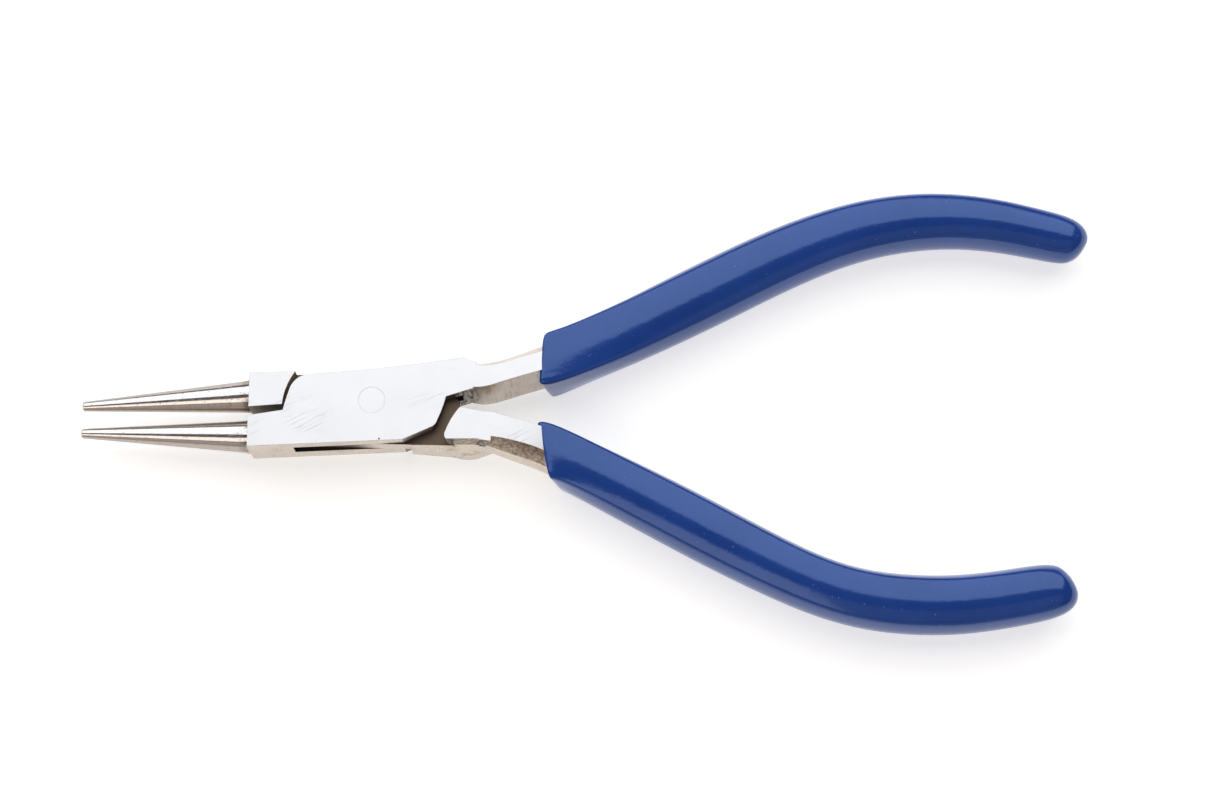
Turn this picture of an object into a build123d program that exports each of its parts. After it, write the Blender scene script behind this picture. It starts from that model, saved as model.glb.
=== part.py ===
from build123d import *
import math
import os

# Round nose pliers with a box joint, lying flat with the jaws a little open.
# Millimetres. The pivot axis is the Z axis and the underside of the joint is z = 0.
# The jaws point to -X and the handles to +X. The box half has the -Y jaw and the
# +Y handle; the inner half passes through its slot to the +Y jaw and the -Y handle.

os.makedirs("parts", exist_ok=True)

# Driving dimensions
THICKNESS = 8.5          # height of the joint, flat top to flat underside
MID = THICKNESS / 2      # height of the jaw and handle centre lines
SLOT_FLOOR = 3.3         # the slot through the box half, between its two cheeks
SLOT_ROOF = 6.2
SLOT_RADIUS = 11.6       # end walls of the slot, round about the pivot
FIT = 0.05               # gap on each side of the tongue in the slot
PIN_RADIUS = 1.69
PIN_CLEARANCE = 0.03     # running fit of the inner half on the pin
JAW_BASE_RADIUS = 2.12   # cone radius at the shoulder of the joint
JAW_TIP_RADIUS = 0.62
JAW_FLARE = 0.12         # fillet where the cone meets its block
TIP_ROUND = 0.2
COAT = 0.85              # wall of the dipped grips
DIP_X = 21.95            # where the dip line crosses each shank's flat
DIP_LEAN = 10.5          # degrees by which the dip plane leans in height
UPPER_DIP_SKEW = -4.5    # degrees by which it is turned in plan
LOWER_DIP_SKEW = 11.5

# Jaw axes in plan: centre at the shoulder, centre of the tip
LOWER_JAW = ((-15.85, -3.98), (-37.8, -3.54))
UPPER_JAW = ((-15.75, 1.36), (-37.75, 0.0))

# Bare stretch of each handle: x, y, width of the flat, its shift in Y, full width, height,
# and how far the flat inner side stands out at its foot
UPPER_SHANK = [
    (10.6, 2.9, 3.2, 0.3, 4.4, 8.5, 0.2),
    (13.2, 2.85, 3.1, 0.4, 4.9, 8.5, 0.45),
    (16.6, 3.45, 2.4, 0.2, 4.9, 8.5, 0.7),
    (19.7, 4.4, 2.4, 0.2, 5.0, 8.4, 0.7),
    (22.0, 5.2, 2.35, 0.1, 5.2, 8.2, 0.7),
    (23.2, 5.65, 2.3, 0.1, 5.2, 7.9, 0.6),
]
LOWER_SHANK = [
    (12.2, -3.3, 3.2, 0.6, 3.5, 8.5, 0.05),
    (14.4, -3.55, 3.2, 0.5, 4.0, 8.5, 0.3),
    (16.7, -4.05, 2.92, 0.61, 4.7, 8.5, 0.5),
    (19.8, -5.0, 2.75, 0.74, 5.1, 8.4, 0.6),
    (22.0, -5.75, 2.8, 0.74, 5.2, 8.2, 0.6),
    (23.2, -6.3, 2.7, 0.6, 5.2, 7.9, 0.5),
]

# Dipped stretch of each handle: x, y, outer width and outer height of the grip
UPPER_GRIP = [
    (25.6, 6.6, 7.2, 8.3),
    (29.3, 8.15, 7.6, 8.3),
    (34.5, 10.55, 8.0, 8.3),
    (39.7, 13.15, 8.3, 8.3),
    (45.0, 15.8, 8.35, 8.3),
    (50.2, 18.45, 8.25, 8.3),
    (55.5, 20.85, 8.05, 8.3),
    (60.8, 22.85, 7.8, 8.2),
    (66.0, 24.15, 7.65, 8.1),
    (71.3, 24.85, 7.4, 8.0),
    (76.6, 24.85, 7.05, 7.9),
    (81.8, 24.2, 6.75, 7.7),
    (87.0, 23.05, 6.2, 7.2),
    (89.8, 22.4, 5.5, 6.4),
    (91.6, 21.95, 4.4, 4.9),
    (92.6, 21.7, 2.6, 2.8),
]
LOWER_GRIP = [
    (25.6, -7.5, 7.0, 8.3),
    (29.3, -9.3, 7.4, 8.3),
    (34.45, -11.95, 7.7, 8.3),
    (39.6, -14.65, 7.9, 8.3),
    (44.7, -17.4, 7.9, 8.3),
    (49.8, -20.05, 7.7, 8.3),
    (54.9, -22.55, 7.5, 8.3),
    (60.0, -24.5, 7.5, 8.2),
    (65.1, -25.6, 7.6, 8.1),
    (70.25, -26.0, 7.65, 8.0),
    (75.4, -25.95, 7.6, 7.9),
    (80.5, -25.3, 7.45, 7.7),
    (84.6, -24.5, 7.2, 7.4),
    (87.4, -23.95, 6.4, 6.6),
    (89.2, -23.6, 4.9, 5.0),
    (90.1, -23.45, 2.8, 2.8),
]


def prism(edges, bottom, top):
    """A flat outline, given as a closed run of edges, raised from bottom to top."""
    return Pos(0, 0, bottom) * extrude(make_face(edges), amount=top - bottom)


def cylinder(radius, bottom, top):
    """An upright cylinder on the pivot axis."""
    upright = (Align.CENTER, Align.CENTER, Align.MIN)
    return Pos(0, 0, bottom) * Cylinder(radius, top - bottom, align=upright)


def section_planes(points):
    """Upright planes square to a smooth line through points, at mid height."""
    line = Spline(*[(x, y) for x, y in points])
    planes = []
    for x, y in points:
        tangent = line.tangent_at(line.param_at_point(Vector(x, y)))
        across = Vector(-tangent.Y, tangent.X, 0)
        planes.append(Plane(origin=(x, y, MID), x_dir=across, z_dir=tangent))
    return planes


def handle_section(inner, flat, shift, width, height, draft):
    """Forged section: level flats top and bottom and an outer side bowed to half the width.

    inner is +1 or -1, the side that faces the other handle. On the bare shank it is ground
    flat and stands out by draft at its foot. Inside the grip, where draft is None, it is
    bowed like the outer side.
    """
    rise = height / 2
    outer_edge = shift - inner * flat / 2
    inner_edge = shift + inner * flat / 2
    if draft is None:
        inner_foot = inner_edge
        inner_middle = inner * width / 2
    else:
        least_bow = 0.02
        inner_foot = inner_edge + inner * draft
        inner_middle = (inner_edge + inner_foot) / 2 + inner * least_bow
    return make_face([
        Line((outer_edge, rise), (inner_edge, rise)),
        ThreePointArc((inner_edge, rise), (inner_middle, 0), (inner_foot, -rise)),
        Line((inner_foot, -rise), (outer_edge, -rise)),
        ThreePointArc((outer_edge, -rise), (-inner * width / 2, 0), (outer_edge, rise)),
    ])


def steel_handle(shank, grip, inner):
    """The forged handle: the bare shank and the core that runs on inside the grip."""
    core_share = 0.42
    core = [(x, y, core_share * (w - 2 * COAT), 0, w - 2 * COAT, h - 2 * COAT, None)
            for x, y, w, h in grip[:-3]]
    stations = shank + core
    planes = section_planes([(x, y) for x, y, *_ in stations])
    faces = [plane * handle_section(inner, *size) for plane, (_, _, *size) in zip(planes, stations)]
    return loft(faces) & Pos(0, 0, MID) * Box(300, 300, THICKNESS)


def dip_side(shank_y, skew):
    """Everything on the handle side of the dip plane, which crosses the flat at shank_y."""
    reach = 150
    upright = (Align.MIN, Align.CENTER, Align.CENTER)
    block = Box(reach, reach, reach, align=upright)
    return Pos(DIP_X, shank_y, THICKNESS) * Rot(0, 0, skew) * Rot(0, -DIP_LEAN, 0) * block


def grip_body(shank, grip, skew):
    """Outer shape of a grip, starting at the dip plane and closed over the handle's end."""
    bare_x, bare_y = shank[-3][:2]
    dip_x, dip_y = shank[-2][:2]
    _, _, first_w, first_h = grip[0]
    stations = [(bare_x, bare_y, first_w - 0.9, first_h), (dip_x, dip_y, first_w - 0.6, first_h)] + grip
    planes = section_planes([(x, y) for x, y, _, _ in stations])
    faces = []
    for plane, (_, _, width, height) in zip(planes, stations):
        corner = 0.46 * min(width, height)
        faces.append(plane * RectangleRounded(width, height, corner))
    return loft(faces) & dip_side(dip_y, skew)


def round_jaw(axis_ends, inward):
    """One conical jaw: a small fillet at the block, a straight cone, a rounded tip.

    inward is +1 or -1, the side in Y that faces the other jaw. The fillet is trimmed
    there, so the two cones meet along a straight line.
    """
    base, tip = (Vector(*end, MID) for end in axis_ends)
    along = (tip - base).normalized()
    length = (tip - base).length
    taper = (JAW_BASE_RADIUS - JAW_TIP_RADIUS) / length
    root = 1.0
    flare_length = 1.6
    bury = JAW_BASE_RADIUS - 0.4
    flare_end = (flare_length, JAW_BASE_RADIUS - taper * flare_length)
    flare_start = (0, JAW_BASE_RADIUS + JAW_FLARE)
    flare_mid = (flare_length * 0.35, JAW_BASE_RADIUS - taper * flare_length * 0.35 + JAW_FLARE * 0.3)
    side_end = (length - TIP_ROUND, JAW_TIP_RADIUS + taper * TIP_ROUND)
    tip_edge = (length, side_end[1] - TIP_ROUND)
    profile = make_face([
        Line((-root, 0), (-root, bury)),
        Line((-root, bury), flare_start),
        ThreePointArc(flare_start, flare_mid, flare_end),
        Line(flare_end, side_end),
        Line(side_end, tip_edge),
        Line(tip_edge, (length, 0)),
        Line((length, 0), (-root, 0)),
    ])
    lie = Plane(origin=base, x_dir=along, z_dir=(0, 0, 1))
    jaw = revolve(lie * profile, Axis(base, along))
    contact_base = base + Vector(0, inward * JAW_BASE_RADIUS, 0)
    contact = tip + Vector(0, inward * JAW_TIP_RADIUS, 0) - contact_base
    far_side = Align.MIN if inward > 0 else Align.MAX
    beyond_contact = Box(3 * length, 10, 2 * THICKNESS, align=(Align.CENTER, far_side, Align.CENTER))
    angle = math.degrees(math.atan(contact.Y / contact.X))
    return jaw - Pos(*contact_base) * Rot(0, 0, angle) * beyond_contact


# Box half: jaw block, two cheeks with the slot between them, +Y handle
shoulder_low = (-15.9, -6.02)
shoulder_in = (-15.85, -1.97)
notch = (-11.38, -1.28)
cheek_side = (-10.65, 1.25)
cheek_top = (-7.9, 3.45)
heel = (11.8, 5.63)
heel_foot = (13.4, 4.98)
crotch_end = (13.0, 1.55)
crotch = (9.54, 0.48)
cut_mid = (8.45, -2.6)
cut_turn = (7.8, -3.45)
cut_low = (4.0, -5.15)
cheek_outline = [
    Line(shoulder_low, shoulder_in),
    Line(shoulder_in, notch),
    ThreePointArc(notch, (-11.08, -0.1), cheek_side),
    ThreePointArc(cheek_side, (-9.75, 2.75), cheek_top),
    ThreePointArc(cheek_top, (1.8, 4.3), heel),
    Line(heel, heel_foot),
    Line(heel_foot, crotch_end),
    Line(crotch_end, crotch),
    ThreePointArc(crotch, (9.1, -1.0), cut_mid),
    ThreePointArc(cut_mid, (8.2, -3.1), cut_turn),
    Line(cut_turn, cut_low),
    Line(cut_low, shoulder_low),
]
box_half = prism(cheek_outline, 0, THICKNESS)
box_half += steel_handle(UPPER_SHANK, UPPER_GRIP, -1)
box_half += round_jaw(LOWER_JAW, 1)
box_half -= cylinder(SLOT_RADIUS, SLOT_FLOOR, SLOT_ROOF)
box_half -= cylinder(PIN_RADIUS, 0, THICKNESS)

# Inner half: jaw block, thin tongue through the slot, full-height root, -Y handle
block_front_out = (-15.75, 3.63)
block_front_in = (-15.8, -0.84)
block_corner = (-9.85, 3.8)
block_in = (-11.5, -0.52)
jaw_block = prism([
    Line(block_front_in, block_front_out),
    Line(block_front_out, block_corner),
    ThreePointArc(block_corner, (-10.95, 1.8), block_in),
    Line(block_in, block_front_in),
], 0, THICKNESS)

tongue_low = (-7.2, -5.12)
tongue_far = (6.6, 4.55)
tongue_near = (11.3, 0.2)
root_in = (11.3, -0.9)
root_low = (10.6, -5.5)
tongue = prism([
    Line(block_in, (-12.5, 0)),
    Line((-12.5, 0), (-12.5, 3.7)),
    Line((-12.5, 3.7), (-7.7, 3.9)),
    Line((-7.7, 3.9), (-2.4, 3.95)),
    Line((-2.4, 3.95), tongue_far),
    Line(tongue_far, tongue_near),
    Line(tongue_near, root_in),
    Line(root_in, root_low),
    Line(root_low, tongue_low),
    Line(tongue_low, block_in),
], SLOT_FLOOR + FIT, SLOT_ROOF - FIT)

# The root is cut back around the cheeks: far back above the tongue, close in below it.
# Its outer side leans out from the flat to a ridge level with the tongue, then bulges.
shank_in = (15.5, -1.65)
shank_out = (15.3, -5.35)
bulge_in = (10.4, -5.9)
bulge_out = (13.4, -6.05)
ridge_y = -5.42
bulge_slope = 13.5
scoop_slope = 9.0
root_edges = [
    Line(bulge_out, shank_out),
    Line(shank_out, shank_in),
    Line(shank_in, root_in),
]
root_below = prism(root_edges + [
    Line(root_in, (10.1, -0.9)),
    ThreePointArc((10.1, -0.9), (9.55, -2.8), (8.6, -3.95)),
    Line((8.6, -3.95), (4.9, ridge_y)),
    Line((4.9, ridge_y), bulge_in),
    ThreePointArc(bulge_in, (12.0, -6.2), bulge_out),
], 0, SLOT_ROOF - FIT)
root_above = prism([
    Line((13.2, ridge_y), (13.9, -5.15)),
    Line((13.9, -5.15), shank_out),
    Line(shank_out, shank_in),
    Line(shank_in, root_in),
    ThreePointArc(root_in, (10.05, -2.75), (9.35, -4.35)),
    ThreePointArc((9.35, -4.35), (9.5, -5.0), (10.2, ridge_y)),
    Line((10.2, ridge_y), (13.2, ridge_y)),
], SLOT_FLOOR + FIT, THICKNESS)


def outside_slope(slope):
    """A block beyond the ridge line on the -Y side, its face leaning by slope degrees."""
    length = 27.5
    beyond = (Align.CENTER, Align.MAX, Align.CENTER)
    return Pos(0, ridge_y, SLOT_ROOF - FIT) * Rot(-slope, 0, 0) * Box(length, 10, 40, align=beyond)


root_below -= outside_slope(bulge_slope)
root_above -= outside_slope(scoop_slope)

inner_half = jaw_block + tongue + root_below + root_above
inner_half += steel_handle(LOWER_SHANK, LOWER_GRIP, 1)
inner_half += round_jaw(UPPER_JAW, -1)
inner_half -= cylinder(PIN_RADIUS + PIN_CLEARANCE, 0, THICKNESS)

# Pivot rivet, fixed in the cheeks and ground flush with both faces
pivot_rivet = cylinder(PIN_RADIUS, 0, THICKNESS)

# Grips, moulded on the steel by dipping
upper_grip = grip_body(UPPER_SHANK, UPPER_GRIP, UPPER_DIP_SKEW) - box_half
lower_grip = grip_body(LOWER_SHANK, LOWER_GRIP, LOWER_DIP_SKEW) - inner_half

PIECES = {
    "box_half": box_half,
    "inner_half": inner_half,
    "pivot_rivet": pivot_rivet,
    "upper_grip": upper_grip,
    "lower_grip": lower_grip,
}
for name, shape in PIECES.items():
    export_step(shape, f"parts/{name}.step")
    bounds = shape.bounding_box()
    print(f"{name}: {len(shape.solids())} solid, {shape.volume:.1f} mm3,"
          f" x {bounds.min.X:.2f} to {bounds.max.X:.2f}, y {bounds.min.Y:.2f} to {bounds.max.Y:.2f},"
          f" z {bounds.min.Z:.2f} to {bounds.max.Z:.2f}, valid {shape.is_valid}")
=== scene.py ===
import math

import bpy
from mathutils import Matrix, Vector


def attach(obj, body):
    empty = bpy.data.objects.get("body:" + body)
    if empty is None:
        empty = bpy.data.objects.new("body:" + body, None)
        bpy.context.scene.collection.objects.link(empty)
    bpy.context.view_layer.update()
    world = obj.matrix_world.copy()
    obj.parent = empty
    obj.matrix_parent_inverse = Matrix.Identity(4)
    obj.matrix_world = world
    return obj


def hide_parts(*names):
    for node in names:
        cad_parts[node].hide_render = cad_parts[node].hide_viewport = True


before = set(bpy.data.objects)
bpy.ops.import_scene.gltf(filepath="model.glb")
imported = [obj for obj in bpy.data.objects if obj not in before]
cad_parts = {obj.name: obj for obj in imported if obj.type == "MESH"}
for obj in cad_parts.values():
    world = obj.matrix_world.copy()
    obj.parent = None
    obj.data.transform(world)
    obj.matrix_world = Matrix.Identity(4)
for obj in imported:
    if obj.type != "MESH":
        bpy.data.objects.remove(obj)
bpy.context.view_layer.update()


# The camera stands in front of the pliers, 41 cm away, and looks down on them, 12 degrees off
# straight down.
MM = 0.001
lean = math.radians(12)
look_at = Vector((30.2, 0.31, 4.25)) * MM
stand_off = 410 * MM
camera_data = bpy.data.cameras.new("camera")
camera_data.lens = 93.8
camera_data.sensor_width = 36
camera_data.clip_start = 0.01
camera = bpy.data.objects.new("camera", camera_data)
bpy.context.scene.collection.objects.link(camera)
camera.location = look_at + Vector((0, -math.sin(lean), math.cos(lean))) * stand_off
camera.rotation_euler = (lean, 0, 0)
bpy.context.scene.camera = camera
bpy.context.scene.view_settings.view_transform = "Standard"


# The table top: a plain sheet of matt white paper that glows a little, as on a light table. It
# lies a hair under the joint's flat underside.
paper_size = 6
paper_gap = 0.2 * MM
bpy.ops.object.select_all(action="DESELECT")
bpy.ops.mesh.primitive_plane_add(size=paper_size, location=(0, 0, -paper_gap))
floor = bpy.context.object
floor.name = "floor"
floor_paper = bpy.data.materials.new("white_paper")
floor_paper.use_nodes = True
paper = floor_paper.node_tree.nodes["Principled BSDF"]
paper.inputs["Base Color"].default_value = (0.68, 0.675, 0.67, 1)
paper.inputs["Roughness"].default_value = 0.9
paper.inputs["Specular IOR Level"].default_value = 0.1
paper.inputs["Emission Color"].default_value = (1.0, 1.0, 1.0, 1)
paper.inputs["Emission Strength"].default_value = 0.60
floor.data.materials.append(floor_paper)


# Studio light: one large soft box over the back of the table, which the flats mirror, three dim
# warm cards in front of it, which the jaws and the sides pick up, and a dim room.
def soft_box(name, place, aim, size, watts, tint):
    """A rectangular area light at place that faces aim."""
    data = bpy.data.lights.new(name, "AREA")
    data.shape = "RECTANGLE"
    data.size, data.size_y = size
    data.energy = watts
    data.color = tint
    box = bpy.data.objects.new(name, data)
    bpy.context.scene.collection.objects.link(box)
    box.location = place
    box.rotation_euler = (Vector(place) - Vector(aim)).to_track_quat("Z", "Y").to_euler()


soft_box("back_soft_box", place=(0.03, 0.507, 0.687), aim=(0.03, -0.062, 0.056),
         size=(1.9, 1.05), watts=10.2, tint=(1.0, 1.0, 1.0))
soft_box("jaw_card", place=(-0.36, -0.46, 0.66), aim=(-0.36, 0, 0),
         size=(0.62, 0.42), watts=1.30, tint=(1.0, 0.86, 0.74))
soft_box("front_card", place=(0.42, -0.46, 0.66), aim=(0.42, 0, 0),
         size=(0.90, 0.42), watts=0.30, tint=(1.0, 0.92, 0.84))
soft_box("low_front_card", place=(0.03, -0.80, 0.28), aim=(0.03, 0, 0),
         size=(1.5, 0.45), watts=0.80, tint=(1.0, 0.90, 0.80))
room = bpy.data.worlds.new("room")
bpy.context.scene.world = room
room.use_nodes = True
room_light = room.node_tree.nodes["Background"]
room_light.inputs["Color"].default_value = (1.0, 0.96, 0.93, 1)
room_light.inputs["Strength"].default_value = 0.14


# The two halves: drop forgings of tool steel. Their flats are ground and polished bright,
# the sides are left duller from tumbling and carry a warm painted reflection, the slot holds
# old oil, and the slot, the groove and the jaws carry painted shade.
class Wire:
    """A shader socket that Python arithmetic can work on."""

    def __init__(self, finish, socket):
        self.finish = finish
        self.socket = socket

    def math(self, operation, *others):
        values = (self, *others)
        return self.finish.node("ShaderNodeMath", {"operation": operation}, dict(enumerate(values)))

    def __add__(self, other):
        return self.math("ADD", other)

    __radd__ = __add__

    def __mul__(self, other):
        return self.math("MULTIPLY", other)

    __rmul__ = __mul__

    def __sub__(self, other):
        return self.math("SUBTRACT", other)

    def __rsub__(self, other):
        return (self * -1) + other

    def __truediv__(self, other):
        return self.math("DIVIDE", other)

    def __abs__(self):
        return self.math("ABSOLUTE")

    def step(self, low, high):
        """0 below low, 1 above high, and a smooth change between."""
        return self.finish.node("ShaderNodeMapRange", {"interpolation_type": "SMOOTHSTEP"},
                                {"Value": self, "From Min": low, "From Max": high})

    def between(self, low, high, soft):
        """1 between low and high, 0 outside, with edges that are soft wide."""
        return self.step(low - soft, low) * (1 - self.step(high, high + soft))


class Finish:
    """A material whose nodes are added one by one to a Principled shader."""

    def __init__(self, name, **fixed):
        self.material = bpy.data.materials.new(name)
        self.material.use_nodes = True
        self.tree = self.material.node_tree
        self.shader = self.tree.nodes["Principled BSDF"]
        for socket, value in fixed.items():
            self.shader.inputs[socket.replace("_", " ")].default_value = value

    def node(self, kind, settings, sockets, output=0):
        made = self.tree.nodes.new(kind)
        for key, value in settings.items():
            setattr(made, key, value)
        for key, value in sockets.items():
            if isinstance(value, Wire):
                self.tree.links.new(value.socket, made.inputs[key])
            else:
                made.inputs[key].default_value = value
        return Wire(self, made.outputs[output])

    def place(self, output="Object"):
        return self.node("ShaderNodeTexCoord", {}, {}, output)

    def axis(self, vector, letter):
        return self.node("ShaderNodeSeparateXYZ", {}, {"Vector": vector}, letter)

    def stretched(self, stretch, turn=0.0):
        """Object coordinates in millimetres, turned in plan and then scaled along each axis."""
        turned = self.node("ShaderNodeMapping", {}, {
            "Vector": self.place(), "Rotation": (0, 0, turn)})
        return self.node("ShaderNodeMapping", {}, {
            "Vector": turned, "Scale": tuple(s / MM for s in stretch)})

    def noise(self, stretch, turn=0.0, detail=3.0, rough=0.6):
        return self.node("ShaderNodeTexNoise", {}, {
            "Vector": self.stretched(stretch, turn), "Scale": 1.0, "Detail": detail,
            "Roughness": rough})

    def blend(self, share, first, second):
        """The colour first where share is 0, second where it is 1."""
        factor, colour_a, colour_b, colour_out = 0, 6, 7, 2
        return self.node("ShaderNodeMix", {"data_type": "RGBA"},
                         {factor: share, colour_a: first, colour_b: second}, colour_out)

    def feed(self, socket, wire):
        self.tree.links.new(wire.socket, self.shader.inputs[socket])

    def bump(self, height, depth, edge_radius=0):
        """Raises the surface by height, a wire from 0 to 1, times depth in metres.

        With an edge_radius its sharp edges catch light as if they were broken by a stone.
        """
        sockets = {"Height": height, "Distance": depth, "Strength": 1.0}
        if edge_radius:
            bevel = self.node("ShaderNodeBevel", {"samples": 4}, {"Radius": edge_radius})
            sockets["Normal"] = bevel
        self.feed("Normal", self.node("ShaderNodeBump", {}, sockets))


# in millimetres, as the forgings are cut
SLOT_FLOOR = 3.3
SLOT_ROOF = 6.2
SLOT_RADIUS = 11.6
RIVET_RADIUS = 1.69
JAW_ROOT = -15.8


def forged_steel(name, stains_and_shade, edge_radius=0.08 * MM):
    """Ground and tumbled steel. The stains function gives two shares: a dark one of old oil and
    painted shade, and a brown one of stains and painted shade.

    spot is a dictionary of wires: x, y, z in millimetres, the normal's nx and ny, and level,
    which is 1 on the flats that face up or down.
    """
    steel = Finish(name, Metallic=1.0)
    place, facing = steel.place(), steel.place("Normal")
    spot = {letter.lower(): steel.axis(place, letter) / MM for letter in "XYZ"}
    spot["nx"], spot["ny"] = steel.axis(facing, "X"), steel.axis(facing, "Y")
    spot["level"] = level = abs(steel.axis(facing, "Z")).step(0.93, 0.995)
    jaw = 1 - spot["x"].step(JAW_ROOT - 0.3, JAW_ROOT)

    # ground flats: faint scratches that run up to the right, in two directions
    ground = (0.545, 0.552, 0.572, 1)
    scratched = (0.36, 0.36, 0.38, 1)
    worn = steel.noise((0.10, 0.16, 0.16), detail=2.0).step(0.42, 0.62)
    scratch = steel.noise((0.12, 14.0, 1.0), math.radians(-27), detail=4.0).step(0.60, 0.74)
    cross = steel.noise((0.20, 18.0, 1.0), math.radians(-12), detail=3.0).step(0.66, 0.76)
    marks = (scratch + cross * 0.6) * level * worn
    cloud = steel.noise((0.3, 0.3, 0.3))
    flat = steel.blend(marks * 0.30, ground, scratched)

    # tumbled sides: soft upright grinding lines and warm stains, on a duller warm beige that is
    # partly a painted reflection of the floor beside them
    tumbled_with_warm_reflection = (0.68, 0.60, 0.51, 1)
    # this stained brown also serves as the painted shade on the jaws' flanks
    stained_and_flank_shade = (0.40, 0.33, 0.27, 1)
    grind = steel.noise((2.6, 2.6, 0.10), detail=3.0)
    cloudy = steel.noise((0.35, 0.35, 0.5), detail=2.0).step(0.45, 0.75)
    side = steel.blend(cloudy * 0.35 + grind * 0.25, tumbled_with_warm_reflection, stained_and_flank_shade)
    colour = steel.blend(level, side, flat)

    # the jaws: turned smooth and tumbled, with painted shade that browns their flanks, and with small
    # pits
    turned_bright = (0.72, 0.71, 0.72, 1)
    turned_dull = (0.40, 0.37, 0.35, 1)
    pitted = (0.12, 0.09, 0.07, 1)
    # the dark of the painted shade near the jaws' shoulders
    shoulder_shade_dark = (0.10, 0.08, 0.07, 1)
    turned = steel.noise((9.0, 0.6, 0.6), detail=3.0)
    pit = steel.noise((3.2, 4.5, 4.5), detail=3.0).step(0.63, 0.70)
    # painted shade: the jaw faces that turn sideways are browned
    flank_painted_shade = abs(spot["ny"]).step(0.50, 0.82)
    crown = steel.blend(turned * 0.55, turned_bright, turned_dull)
    cone = steel.blend(flank_painted_shade * 0.75, crown, stained_and_flank_shade)
    cone = steel.blend(pit * 0.6, cone, pitted)
    # painted shade: the jaws darken, mottled, near the shoulder where they leave the block
    shoulder_painted_shade = spot["x"].step(-17.6, -16.0) * steel.noise((0.5, 0.9, 0.9)).step(0.40, 0.60)
    cone = steel.blend(shoulder_painted_shade * 0.75, cone, shoulder_shade_dark)
    colour = steel.blend(jaw, colour, cone)

    # stains and painted shade over all of it: the thin brown ones first, then old oil and painted
    # shade
    brown_stain_and_shade = (0.17, 0.12, 0.085, 1)
    old_oil_and_shade = (0.045, 0.035, 0.028, 1)
    oil_and_painted_shade, brown = stains_and_shade(steel, spot)
    colour = steel.blend(brown, colour, brown_stain_and_shade)
    colour = steel.blend(oil_and_painted_shade, colour, old_oil_and_shade)
    steel.feed("Base Color", colour)
    rough_flat = cloud * 0.08 + 0.13 + marks * 0.08
    rough_side = grind * 0.16 + 0.20
    rough_jaw = turned * 0.10 + 0.07 + flank_painted_shade * 0.12
    rough = level * rough_flat + (1 - level) * rough_side
    rough = rough * (1 - jaw) + jaw * rough_jaw
    steel.feed("Roughness", rough + oil_and_painted_shade * 0.3 + brown * 0.1)

    side_relief = (1 - level) * (1 - jaw) * grind * 0.35
    jaw_relief = jaw * (pit * -0.6 + turned * 0.25)
    steel.bump(marks * -0.3 + side_relief + jaw_relief, 0.02 * MM, edge_radius)
    return steel.material


def box_stains_and_shade(steel, spot):
    """The slot's walls in painted shade and old oil, the cut beside the root in painted shade, the
    crotch, the inner shank and the rivet's seam.
    """
    x, y, z, level = spot["x"], spot["y"], spot["z"], spot["level"]
    upright = 1 - level
    reach = (x * x + y * y).math("SQRT")
    # painted shade with old oil: the slot's walls are darkened nearly black
    slot_painted_shade = z.between(SLOT_FLOOR - 0.05, SLOT_ROOF + 0.05, 0.03)
    slot_painted_shade = slot_painted_shade * (1 - reach.step(SLOT_RADIUS + 0.02, SLOT_RADIUS + 0.15))
    seam = reach.between(RIVET_RADIUS - 0.01, RIVET_RADIUS + 0.04, 0.04) * level * 0.04
    # painted shade: the upright walls that face the root across the groove are darkened
    groove_wall_painted_shade = spot["nx"].step(0.2, 0.5) * upright * x.between(3.4, 10.0, 0.2)
    inner_face = (1 - spot["ny"].step(-0.9, -0.6)) * upright * x.step(9.8, 10.4)
    ticks = steel.noise((2.2, 2.2, 0.35), detail=2.0).step(0.48, 0.60)
    crotch = inner_face * (1 - x.step(12.5, 14.6)) * (ticks * 0.5 + 0.35)
    # one small nick near the flat's front edge
    nick = ((x - 1.02) * (x - 1.02) + (y + 5.06) * (y + 5.06)).math("SQRT")
    dot = (1 - nick.step(0.08, 0.16)) * level * 0.8
    worn = steel.noise((2.4, 2.4, 0.10), detail=3.0).step(0.45, 0.80)
    oil_and_painted_shade = slot_painted_shade * 0.95 + seam + groove_wall_painted_shade * 0.85 + crotch + dot
    brown = inner_face * (worn * 0.40 + 0.22)
    return oil_and_painted_shade, brown


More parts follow.
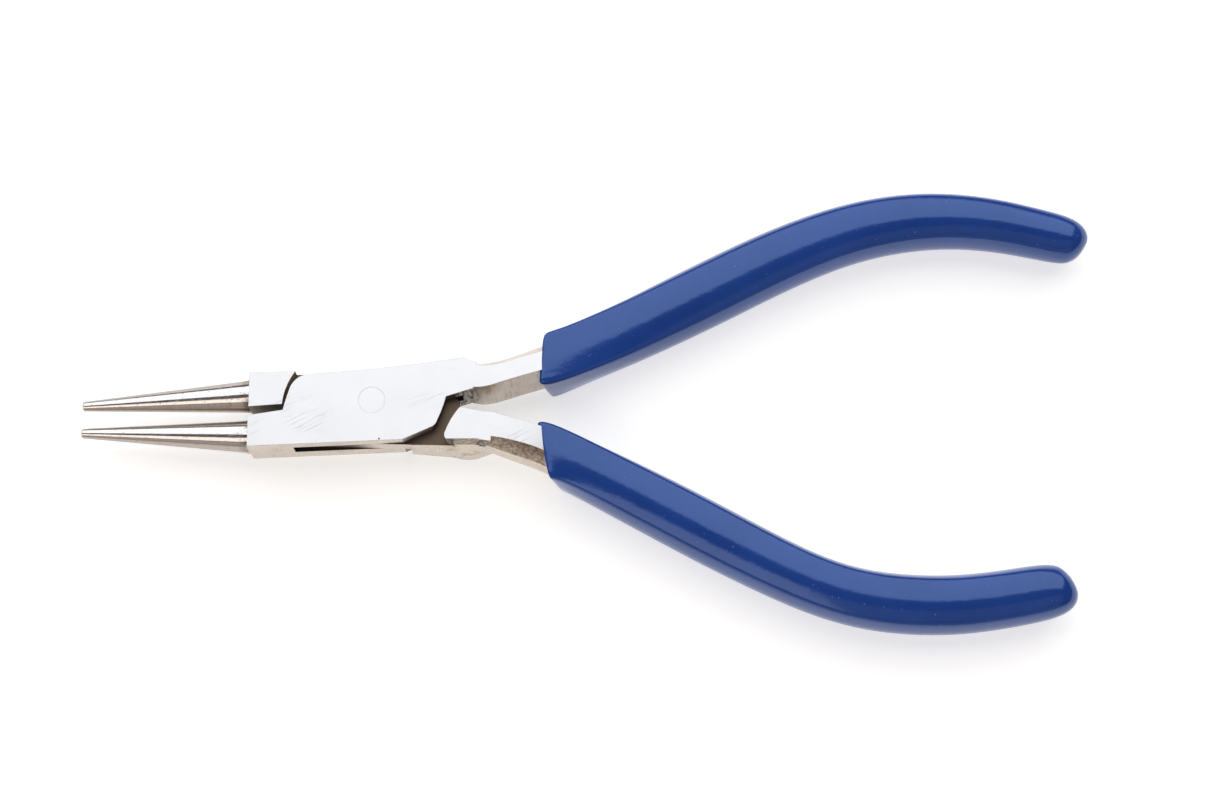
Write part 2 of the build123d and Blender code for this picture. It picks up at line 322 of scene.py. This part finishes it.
def inner_stains_and_shade(steel, spot):
    """The tongue, the wall beside the notch, the root's front and the scooped outer edge, with
    painted shade on the tongue and the root's front and a painted dark reflection on the scoop.
    """
    x, y, z, level = spot["x"], spot["y"], spot["z"], spot["level"]
    upright = 1 - level
    reach = (x * x + y * y).math("SQRT")
    tongue = z.between(SLOT_FLOOR, SLOT_ROOF, 0.02)
    in_slot = tongue * (1 - reach.step(SLOT_RADIUS, SLOT_RADIUS + 0.3))
    # painted shade: the tongue's sides deep in the slot are darkened
    tongue_side_painted_shade = in_slot * upright * (1 - x.step(-3.0, 1.0)) * 0.9
    # painted shade: the tongue's flats inside the box are darkened and browned
    tongue_top_painted_shade = tongue * level * x.between(-12.0, 12.3, 0.6)
    toward_front = 1 - spot["ny"].step(-0.9, -0.5)
    notch = toward_front * upright * x.between(-15.7, -11.0, 0.3)
    # painted shade: the root's upright front in the groove is darkened
    root_front_painted_shade = upright * z.step(6.18, 6.25) * x.between(8.9, 10.4, 0.2) * 0.7
    # painted reflection: the scooped edge, facing sideways and down, is browned and mottled
    scoop_painted_reflection = upright * z.step(6.22, 6.4) * x.step(9.2, 10.6) * (1 - spot["ny"].step(-0.2, -0.05))
    specks = steel.noise((2.2, 2.2, 2.2), detail=2.0).step(0.35, 0.65)
    hollow = steel.noise((0.5, 0.5, 0.5), detail=2.0).step(0.50, 0.66)
    lower = upright * (1 - z.step(5.9, 6.2)) * x.step(8.0, 10.5) * (1 - x.step(13.0, 15.0)) * hollow
    oil_and_painted_shade = tongue_top_painted_shade * 0.45 + tongue_side_painted_shade + notch * (x.step(-15.8, -12.5) * 0.35 + 0.35) + root_front_painted_shade
    brown = tongue_top_painted_shade * 0.95 + scoop_painted_reflection * (specks * 0.35 + 0.60) + notch * 0.5 + lower * 0.45
    return oil_and_painted_shade, brown


for half, stains_and_shade in (("box_half", box_stains_and_shade), ("inner_half", inner_stains_and_shade)):
    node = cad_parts[half]
    node.data.materials.clear()
    node.data.materials.append(forged_steel(half + "_steel", stains_and_shade))


# The pivot: a headless steel rivet, set in the cheeks and ground off level with them, so
# that only a hair line shows where it ends.
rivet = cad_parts["pivot_rivet"]
rivet.data.materials.clear()
rivet.data.materials.append(forged_steel("rivet_steel", box_stains_and_shade, edge_radius=0))


# The grips: the handles are dipped hot into blue vinyl, which gels as a glossy skin about
# 0.85 mm thick and ends in a slanted lip at the dip line. Near that line it is as square as
# the steel inside it; further on it rounds off.
COAT = 0.85 * MM
MID_HEIGHT = 4.25
DIP_LEAN = 10.5
# along each handle: x, y, width, height, and how round the section is, from square 0 to round 1
UPPER_RUN = [
    (22.45, 5.3, 5.9, 8.48, 0.06), (23.1, 5.65, 6.7, 8.48, 0.08), (24.6, 6.2, 7.05, 8.4, 0.16),
    (27.0, 7.2, 7.35, 8.32, 0.33), (30.5, 8.7, 7.7, 8.3, 0.43), (34.5, 10.55, 8.0, 8.3, 0.58),
    (39.7, 13.15, 8.3, 8.3, 0.67), (45.0, 15.8, 8.35, 8.3, 0.70), (50.2, 18.45, 8.25, 8.3, 0.72),
    (55.5, 20.85, 8.05, 8.3, 0.72), (60.8, 22.85, 7.8, 8.2, 0.72), (66.0, 24.15, 7.65, 8.1, 0.72),
    (71.3, 24.85, 7.4, 8.0, 0.74), (76.6, 24.85, 7.05, 7.9, 0.75), (81.8, 24.2, 6.75, 7.7, 0.77),
    (86.0, 23.25, 6.5, 7.4, 0.81), (88.8, 22.6, 6.4, 7.1, 0.82), (90.9, 22.0, 6.0, 6.3, 0.9),
    (92.0, 21.4, 4.6, 4.8, 1.0), (92.6, 21.0, 2.3, 2.4, 1.0),
]
LOWER_RUN = [
    (22.75, -6.2, 6.25, 8.48, 0.02), (23.4, -6.45, 6.75, 8.48, 0.04), (24.8, -7.1, 7.0, 8.42, 0.26),
    (27.2, -8.25, 7.15, 8.32, 0.44), (30.5, -9.9, 7.45, 8.3, 0.57), (34.45, -11.95, 7.7, 8.3, 0.62),
    (39.6, -14.65, 7.9, 8.3, 0.65), (44.7, -17.4, 7.9, 8.3, 0.67), (49.8, -20.05, 7.7, 8.3, 0.67),
    (54.9, -22.55, 7.5, 8.3, 0.67), (60.0, -24.5, 7.5, 8.2, 0.67), (65.1, -25.6, 7.6, 8.1, 0.67),
    (70.25, -26.0, 7.65, 8.0, 0.69), (75.4, -25.95, 7.6, 7.9, 0.71), (80.5, -25.3, 7.45, 7.7, 0.72),
    (84.2, -24.65, 7.35, 7.5, 0.78), (86.6, -24.2, 7.1, 7.2, 0.82), (88.5, -23.85, 6.3, 6.5, 0.9),
    (89.45, -23.5, 4.8, 4.9, 1.0), (90.0, -23.2, 2.4, 2.5, 1.0),
]


def turn_ring(degrees, centre, axis="Z"):
    """Turns what is selected anticlockwise about an upright or level axis through centre."""
    bpy.ops.transform.rotate(value=-math.radians(degrees), orient_axis=axis, center_override=centre)


def shape_ring(centre, width, height, rounder):
    """Makes the selected ring of unit radius rounder by a share, then its real size."""
    bpy.ops.transform.tosphere(value=rounder, center_override=centre)
    bpy.ops.transform.resize(value=(1, width, height), center_override=centre)


def dipped_grip(name, run, heading, skew):
    """Extrudes one open ring from the dip line to the handle's end and closes it there.

    The ring starts as a square of 32 points in an upright plane across the handle. The handle
    starts out at heading degrees from +X in plan, and the lip is turned to skew degrees.
    """
    bpy.ops.object.select_all(action="DESELECT")
    centre = Vector((run[0][0], run[0][1], MID_HEIGHT)) * MM
    bpy.ops.mesh.primitive_plane_add(size=2, location=centre, rotation=(0, math.pi / 2, 0))
    grip = bpy.context.object
    grip.name = name
    bpy.ops.object.transform_apply(location=True, rotation=True, scale=True)
    bpy.ops.object.mode_set(mode="EDIT")
    bpy.context.tool_settings.mesh_select_mode = (False, True, False)
    bpy.ops.mesh.select_all(action="SELECT")
    bpy.ops.mesh.delete(type="ONLY_FACE")
    bpy.ops.mesh.select_all(action="SELECT")
    bpy.ops.mesh.subdivide(number_cuts=7)
    bpy.ops.mesh.select_all(action="SELECT")

    # growth of the finished skin over its control ring, from square to round
    square_to_round = 0.14
    # how far each of the first rings has turned from the lip's slant to straight across
    uprightness = {0: 0.0, 1: 0.25, 2: 0.65}
    # keeps the division below from failing on a ring that is round already
    almost_none = 1e-9
    before = centre
    turned, leaned, round_before = 0.0, 0.0, 0.0
    size_before = (1.0, 1.0)
    for index, (x, y, width, height, roundness) in enumerate(run):
        centre = Vector((x, y, MID_HEIGHT)) * MM
        if index:
            bpy.ops.mesh.extrude_edges_move(TRANSFORM_OT_translate={"value": centre - before})
            turn_ring(-turned, centre)
            turn_ring(leaned, centre, "Y")
            bpy.ops.transform.resize(value=(1, 1 / size_before[0], 1 / size_before[1]),
                                     center_override=centre)
            ahead = run[min(index + 1, len(run) - 1)]
            behind = run[index - 1]
            heading = math.degrees(math.atan2(ahead[1] - behind[1], ahead[0] - behind[0]))
        share = uprightness.get(index, 1.0)
        turned = skew + (heading - skew) * share
        leaned = DIP_LEAN * (1 - share)
        spread = MM / 2 / (1 + square_to_round * roundness)
        across = width * spread / math.cos(math.radians(heading - turned))
        upright = height * spread / math.cos(math.radians(leaned))
        rounder = 1 - (1 - roundness) / (1 - round_before + almost_none)
        shape_ring(centre, across, upright, rounder)
        turn_ring(-leaned, centre, "Y")
        turn_ring(turned, centre)
        size_before, round_before, before = (across, upright), roundness, centre
    bpy.ops.mesh.edge_face_add()
    bpy.ops.mesh.select_all(action="SELECT")
    bpy.ops.mesh.normals_make_consistent(inside=False)
    bpy.ops.object.mode_set(mode="OBJECT")

    skin = grip.modifiers.new("skin", "SOLIDIFY")
    skin.thickness = COAT
    skin.offset = -1
    bpy.ops.object.modifier_apply(modifier=skin.name)
    smooth = grip.modifiers.new("smooth", "SUBSURF")
    smooth.levels = smooth.render_levels = 2
    bpy.ops.object.modifier_apply(modifier=smooth.name)
    bpy.ops.object.shade_smooth()
    return grip


def blue_vinyl():
    """Glossy dipped vinyl with a faint orange peel, cloudy patches and a few dust specks.

    Its gloss is tinted a little blue.
    """
    vinyl = Finish("blue_vinyl", Specular_IOR_Level=1.0, Specular_Tint=(0.45, 0.64, 1.0, 1))
    deep_blue = (0.008, 0.042, 0.245, 1)
    light_blue = (0.011, 0.050, 0.280, 1)
    dust = (0.20, 0.28, 0.55, 1)
    peel = vinyl.noise((0.9, 0.9, 0.9), detail=2.0)
    haze = vinyl.noise((0.12, 0.12, 0.12), detail=3.0)
    speck = vinyl.noise((2.6, 2.6, 2.6), detail=1.0).step(0.755, 0.775)
    blue = vinyl.blend(haze.step(0.3, 0.7), deep_blue, light_blue)
    vinyl.feed("Base Color", vinyl.blend(speck * 0.5, blue, dust))
    vinyl.feed("Roughness", haze * 0.06 + peel * 0.05 + 0.10)
    vinyl.bump(peel * 0.5 + speck, 0.04 * MM)
    return vinyl.material


vinyl_skin = blue_vinyl()
for name, body, run, heading, skew in (
        ("upper_grip_skin", "box_side", UPPER_RUN, 22.0, -4.5),
        ("lower_grip_skin", "inner_side", LOWER_RUN, -24.0, 11.5)):
    grip = dipped_grip(name, run, heading, skew)
    grip.data.materials.append(vinyl_skin)
    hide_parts(name.replace("_skin", ""))
    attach(grip, body)
